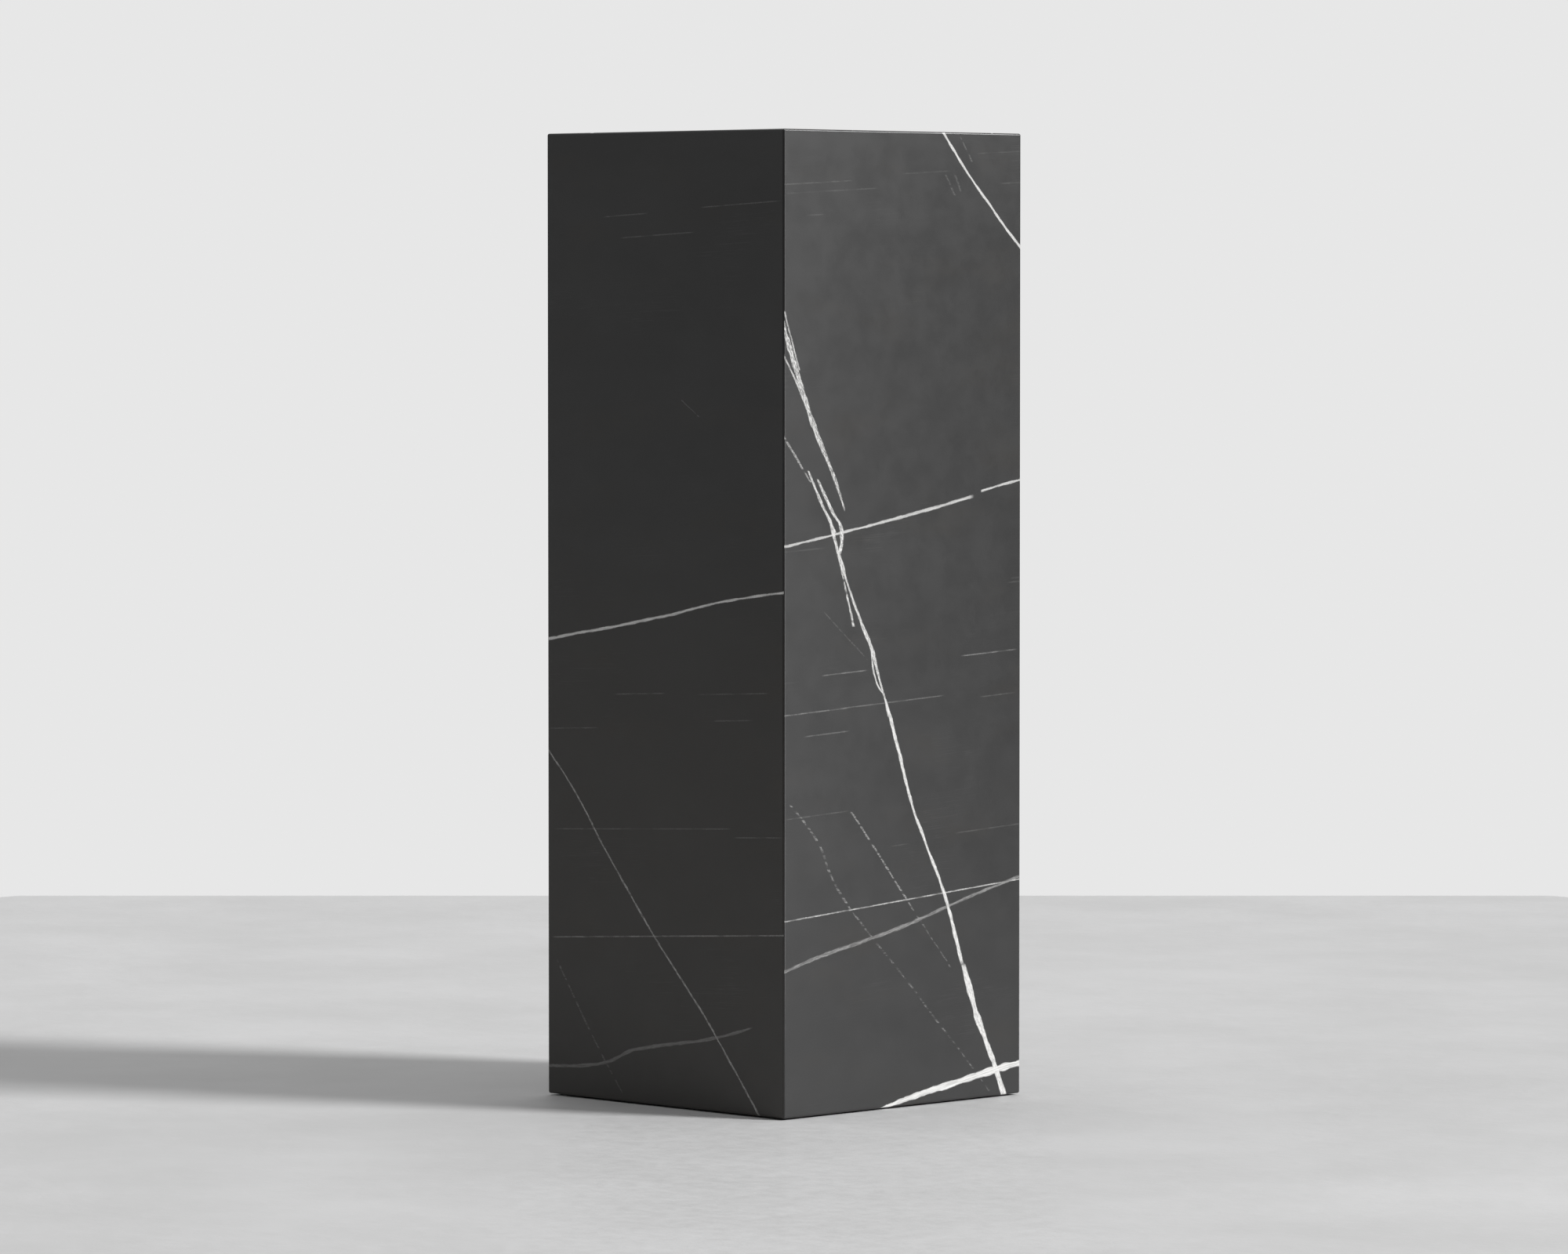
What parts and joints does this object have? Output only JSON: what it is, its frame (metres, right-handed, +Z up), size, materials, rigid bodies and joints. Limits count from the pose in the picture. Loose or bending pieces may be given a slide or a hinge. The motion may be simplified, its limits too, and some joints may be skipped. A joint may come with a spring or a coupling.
{
  "type": "display plinth",
  "caption": "Tall square display plinth clad in honed black marble with white veins, mitred at every edge, on a plywood carcass with levelling feet hidden behind a narrow shadow gap.",
  "frame": {"origin": "centre of the square footprint, at floor level, with the feet wound fully in", "axes": "+Z up, -Y the front, +X the right-hand side"},
  "size_m": [0.4, 0.4, 1.15],
  "materials": {
    "black_marble": null,
    "joint_resin": "black polyester resin, flush and honed with the stone",
    "adhesive": "elastic off-white stone adhesive",
    "plywood": "birch plywood, sanded, unfinished",
    "batten_timber": "planed softwood, unfinished",
    "hardwood": "planed beech, unfinished",
    "screw_steel": "yellow zinc-plated steel",
    "insert_steel": "zinc-plated steel",
    "foot_steel": "zinc-plated steel with a turned stem and a hexagonal collar",
    "foot_plastic": "black moulded nylon"
  },
  "bodies": {
    "plinth": {"front_stone_panel": "black_marble", "right_stone_panel": "black_marble", "back_stone_panel": "black_marble", "left_stone_panel": "black_marble", "top_stone_slab": "black_marble", "mitre_joint_resin": "joint_resin", "side_adhesive_strips": "adhesive", "top_adhesive_strips": "adhesive", "base_board": "plywood", "front_wall_board": "plywood", "right_wall_board": "plywood", "back_wall_board": "plywood", "left_wall_board": "plywood", "top_board": "plywood", "lower_rib": "plywood", "upper_rib": "plywood", "corner_batten_front_left": "batten_timber", "corner_batten_front_right": "batten_timber", "corner_batten_back_left": "batten_timber", "corner_batten_back_right": "batten_timber", "foot_block_front_left": "hardwood", "foot_block_front_right": "hardwood", "foot_block_back_left": "hardwood", "foot_block_back_right": "hardwood", "corner_screws": "screw_steel", "rib_screws": "screw_steel", "top_board_screws": "screw_steel", "base_board_screws": "screw_steel", "foot_block_screws": "screw_steel", "foot_insert_front_left": "insert_steel", "foot_insert_front_right": "insert_steel", "foot_insert_back_left": "insert_steel", "foot_insert_back_right": "insert_steel"},
    "pad_front_left": {"foot_pad_front_left": "foot_plastic"},
    "stem_front_left": {"foot_stem_front_left": "foot_steel"},
    "pad_front_right": {"foot_pad_front_right": "foot_plastic"},
    "stem_front_right": {"foot_stem_front_right": "foot_steel"},
    "pad_back_left": {"foot_pad_back_left": "foot_plastic"},
    "stem_back_left": {"foot_stem_back_left": "foot_steel"},
    "pad_back_right": {"foot_pad_back_right": "foot_plastic"},
    "stem_back_right": {"foot_stem_back_right": "foot_steel"}
  },
  "joints": [
    {"name": "foot_travel_front_left", "type": "slide", "parent": "plinth", "child": "pad_front_left", "axis": [0, 0, 1], "range_m": [-0.015, 0]},
    {"name": "foot_turn_front_left", "type": "hinge", "parent": "pad_front_left", "child": "stem_front_left", "pos_m": [-0.14, -0.14, 0.013], "axis": [0, 0, 1], "range_deg": [-3600.5, 0.5]},
    {"name": "foot_travel_front_right", "type": "slide", "parent": "plinth", "child": "pad_front_right", "axis": [0, 0, 1], "range_m": [-0.015, 0]},
    {"name": "foot_turn_front_right", "type": "hinge", "parent": "pad_front_right", "child": "stem_front_right", "pos_m": [0.14, -0.14, 0.013], "axis": [0, 0, 1], "range_deg": [-3600.5, 0.5]},
    {"name": "foot_travel_back_left", "type": "slide", "parent": "plinth", "child": "pad_back_left", "axis": [0, 0, 1], "range_m": [-0.015, 0]},
    {"name": "foot_turn_back_left", "type": "hinge", "parent": "pad_back_left", "child": "stem_back_left", "pos_m": [-0.14, 0.14, 0.013], "axis": [0, 0, 1], "range_deg": [-3600.5, 0.5]},
    {"name": "foot_travel_back_right", "type": "slide", "parent": "plinth", "child": "pad_back_right", "axis": [0, 0, 1], "range_m": [-0.015, 0]},
    {"name": "foot_turn_back_right", "type": "hinge", "parent": "pad_back_right", "child": "stem_back_right", "pos_m": [0.14, 0.14, 0.013], "axis": [0, 0, 1], "range_deg": [-3600.5, 0.5]}
  ],
  "couplings": [
    {"joint": "foot_turn_front_left", "follows": "foot_travel_front_left", "rad_per_m": 4188.8},
    {"joint": "foot_turn_front_right", "follows": "foot_travel_front_right", "rad_per_m": 4188.8},
    {"joint": "foot_turn_back_left", "follows": "foot_travel_back_left", "rad_per_m": 4188.8},
    {"joint": "foot_turn_back_right", "follows": "foot_travel_back_right", "rad_per_m": 4188.8}
  ]
}
